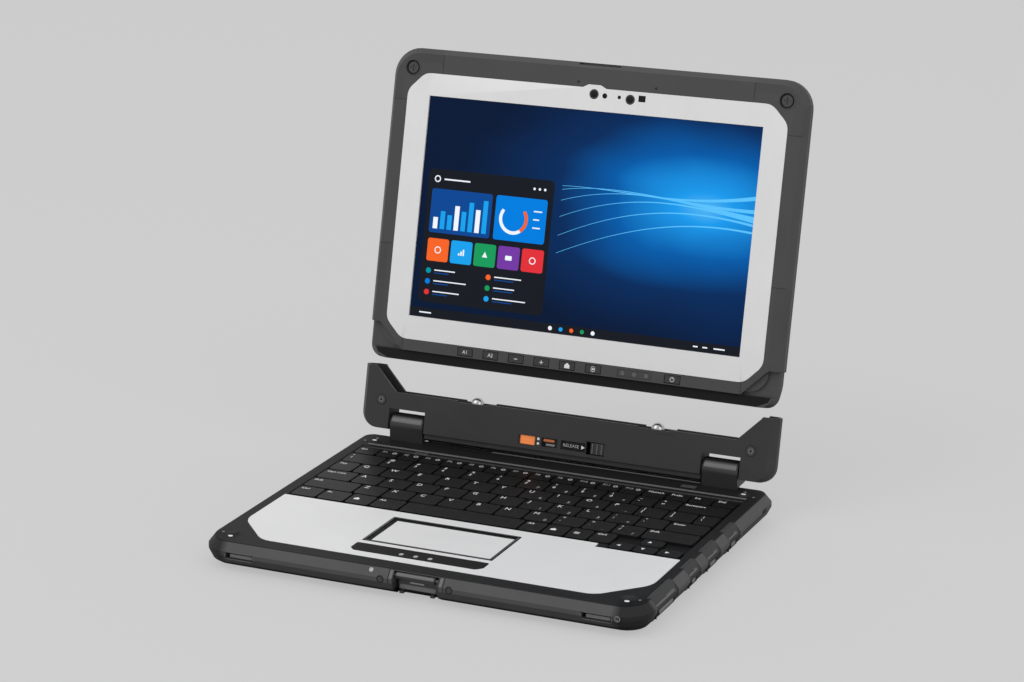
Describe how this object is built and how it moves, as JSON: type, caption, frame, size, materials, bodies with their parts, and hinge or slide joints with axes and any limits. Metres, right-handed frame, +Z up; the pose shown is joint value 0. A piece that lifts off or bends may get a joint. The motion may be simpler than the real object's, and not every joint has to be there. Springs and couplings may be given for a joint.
{
  "type": "laptop computer",
  "caption": "Rugged laptop with a lift-off tablet screen, a hinged docking carrier and a keyboard base with touchpad.",
  "frame": {"origin": "on the desk under the middle of the keyboard base", "axes": "+X to the user's right, +Y to the back, +Z up; the lid stands open at 104.17 degrees and the tablet is lifted off its carrier"},
  "size_m": [0.272, 0.2688, 0.2516],
  "materials": {
    "base_metal": "matte",
    "cover_paint": "matte",
    "carrier_plastic": "matte",
    "frame_plastic": "matte",
    "silver": "satin",
    "pad": "satin",
    "pad_frame": "satin",
    "tray": "matte",
    "keys": "satin",
    "hinge_metal": "satin",
    "black_rubber": "matte",
    "board": "satin",
    "connector_steel": "satin",
    "screw_steel": "satin",
    "chrome_pin": "polished",
    "black_plastic": "satin",
    "indicator_orange": "satin",
    "screen_glass": "gloss",
    "panel": "satin",
    "lens": "gloss",
    "battery_wrap": "satin"
  },
  "bodies": {
    "base": {"bottom_case": "base_metal", "top_cover": "cover_paint", "palm_rest": "silver", "touchpad_frame": "pad_frame", "touchpad": "pad", "keyboard_tray": "tray", "hinge_blocks": "hinge_metal", "corner_bumpers": "black_rubber", "rubber_feet": "black_rubber", "base_board": "board", "base_ports": "connector_steel", "base_screws": "screw_steel", "latch_pin": "connector_steel"},
    "carrier": {"carrier_front": "carrier_plastic", "carrier_rear": "cover_paint", "guide_pins": "chrome_pin", "dock_connector": "black_plastic", "hinge_shafts": "connector_steel", "lock_indicator": "indicator_orange", "carrier_screws": "screw_steel"},
    "tablet": {"tablet_rear_cover": "cover_paint", "tablet_frame": "frame_plastic", "corner_guards": "black_rubber", "screen_bezel": "silver", "display_glass": "screen_glass", "display_panel": "panel", "camera_board": "board", "camera_lenses": "lens", "tablet_board": "board", "tablet_battery": "battery_wrap", "dock_socket": "black_plastic", "status_window": "black_plastic", "tablet_screws": "screw_steel"},
    "release": {"release_slider": "black_plastic", "latch_bar": "connector_steel"},
    "latch": {"front_latch": "black_plastic"},
    "pad_buttons": {"button_bar": "pad_frame"},
    "control_keys": {"keys_control_row": "keys"},
    "lower_keys": {"keys_lower_row": "keys"},
    "middle_keys": {"keys_middle_row": "keys"},
    "upper_keys": {"keys_upper_row": "keys"},
    "number_keys": {"keys_number_row": "keys"},
    "function_keys": {"keys_function_row": "keys"},
    "door_1": {"port_door_1": "black_rubber"},
    "door_2": {"port_door_2": "black_rubber"},
    "door_3": {"port_door_3": "black_rubber"},
    "door_4": {"port_door_4": "black_rubber"},
    "button_a1": {"button_a1": "black_plastic"},
    "button_a2": {"button_a2": "black_plastic"},
    "button_minus": {"button_minus": "black_plastic"},
    "button_plus": {"button_plus": "black_plastic"},
    "button_home": {"button_home": "black_plastic"},
    "button_rotate": {"button_rotate": "black_plastic"},
    "button_power": {"button_power": "black_plastic"}
  },
  "joints": [
    {"name": "lid_hinge", "type": "hinge", "parent": "base", "child": "carrier", "pos_m": [0, 0.1017, 0.0257], "axis": [-1, 0, 0], "range_deg": [-104.17, 40.8]},
    {"name": "tablet_lift", "type": "slide", "parent": "carrier", "child": "tablet", "axis": [0, 0.2448, 0.9696], "range_m": [-0.0265, 0.1]},
    {"name": "release_slide", "type": "slide", "parent": "carrier", "child": "release", "axis": [1, 0, 0], "range_m": [-0.0025, 0]},
    {"name": "latch_turn", "type": "hinge", "parent": "base", "child": "latch", "pos_m": [0.001, -0.101, 0.014], "axis": [-1, 0, 0], "range_deg": [0, 180]},
    {"name": "pad_button_tilt", "type": "hinge", "parent": "base", "child": "pad_buttons", "pos_m": [-0.0092, -0.07803, 0.0162], "axis": [0, 1, 0], "range_deg": [-1.2, 1.2], "stiffness_Nm_per_rad": 1.5},
    {"name": "control_keys_press", "type": "slide", "parent": "base", "child": "control_keys", "axis": [0, 0, -1], "range_m": [0, 0.0018], "stiffness_N_per_m": 400, "springref_m": -0.001},
    {"name": "lower_keys_press", "type": "slide", "parent": "base", "child": "lower_keys", "axis": [0, 0, -1], "range_m": [0, 0.0018], "stiffness_N_per_m": 400, "springref_m": -0.001},
    {"name": "middle_keys_press", "type": "slide", "parent": "base", "child": "middle_keys", "axis": [0, 0, -1], "range_m": [0, 0.0018], "stiffness_N_per_m": 400, "springref_m": -0.001},
    {"name": "upper_keys_press", "type": "slide", "parent": "base", "child": "upper_keys", "axis": [0, 0, -1], "range_m": [0, 0.0018], "stiffness_N_per_m": 400, "springref_m": -0.001},
    {"name": "number_keys_press", "type": "slide", "parent": "base", "child": "number_keys", "axis": [0, 0, -1], "range_m": [0, 0.0018], "stiffness_N_per_m": 400, "springref_m": -0.001},
    {"name": "function_keys_press", "type": "slide", "parent": "base", "child": "function_keys", "axis": [0, 0, -1], "range_m": [0, 0.0018], "stiffness_N_per_m": 400, "springref_m": -0.001},
    {"name": "door_1_open", "type": "hinge", "parent": "base", "child": "door_1", "pos_m": [0.1327, 0, 0.0047], "axis": [0, 1, 0], "range_deg": [0, 75], "stiffness_Nm_per_rad": 0.01},
    {"name": "door_2_open", "type": "hinge", "parent": "base", "child": "door_2", "pos_m": [0.1327, 0, 0.0047], "axis": [0, 1, 0], "range_deg": [0, 75], "stiffness_Nm_per_rad": 0.01},
    {"name": "door_3_open", "type": "hinge", "parent": "base", "child": "door_3", "pos_m": [0.1327, 0, 0.0047], "axis": [0, 1, 0], "range_deg": [0, 75], "stiffness_Nm_per_rad": 0.01},
    {"name": "door_4_open", "type": "hinge", "parent": "base", "child": "door_4", "pos_m": [0.1327, 0, 0.0047], "axis": [0, 1, 0], "range_deg": [0, 75], "stiffness_Nm_per_rad": 0.01},
    {"name": "button_a1_press", "type": "slide", "parent": "tablet", "child": "button_a1", "axis": [0, 0.9696, -0.2448], "range_m": [0, 0.0006], "stiffness_N_per_m": 600, "springref_m": -0.0003},
    {"name": "button_a2_press", "type": "slide", "parent": "tablet", "child": "button_a2", "axis": [0, 0.9696, -0.2448], "range_m": [0, 0.0006], "stiffness_N_per_m": 600, "springref_m": -0.0003},
    {"name": "button_minus_press", "type": "slide", "parent": "tablet", "child": "button_minus", "axis": [0, 0.9696, -0.2448], "range_m": [0, 0.0006], "stiffness_N_per_m": 600, "springref_m": -0.0003},
    {"name": "button_plus_press", "type": "slide", "parent": "tablet", "child": "button_plus", "axis": [0, 0.9696, -0.2448], "range_m": [0, 0.0006], "stiffness_N_per_m": 600, "springref_m": -0.0003},
    {"name": "button_home_press", "type": "slide", "parent": "tablet", "child": "button_home", "axis": [0, 0.9696, -0.2448], "range_m": [0, 0.0006], "stiffness_N_per_m": 600, "springref_m": -0.0003},
    {"name": "button_rotate_press", "type": "slide", "parent": "tablet", "child": "button_rotate", "axis": [0, 0.9696, -0.2448], "range_m": [0, 0.0006], "stiffness_N_per_m": 600, "springref_m": -0.0003},
    {"name": "button_power_press", "type": "slide", "parent": "tablet", "child": "button_power", "axis": [0, 0.9696, -0.2448], "range_m": [0, 0.0006], "stiffness_N_per_m": 600, "springref_m": -0.0003}
  ]
}
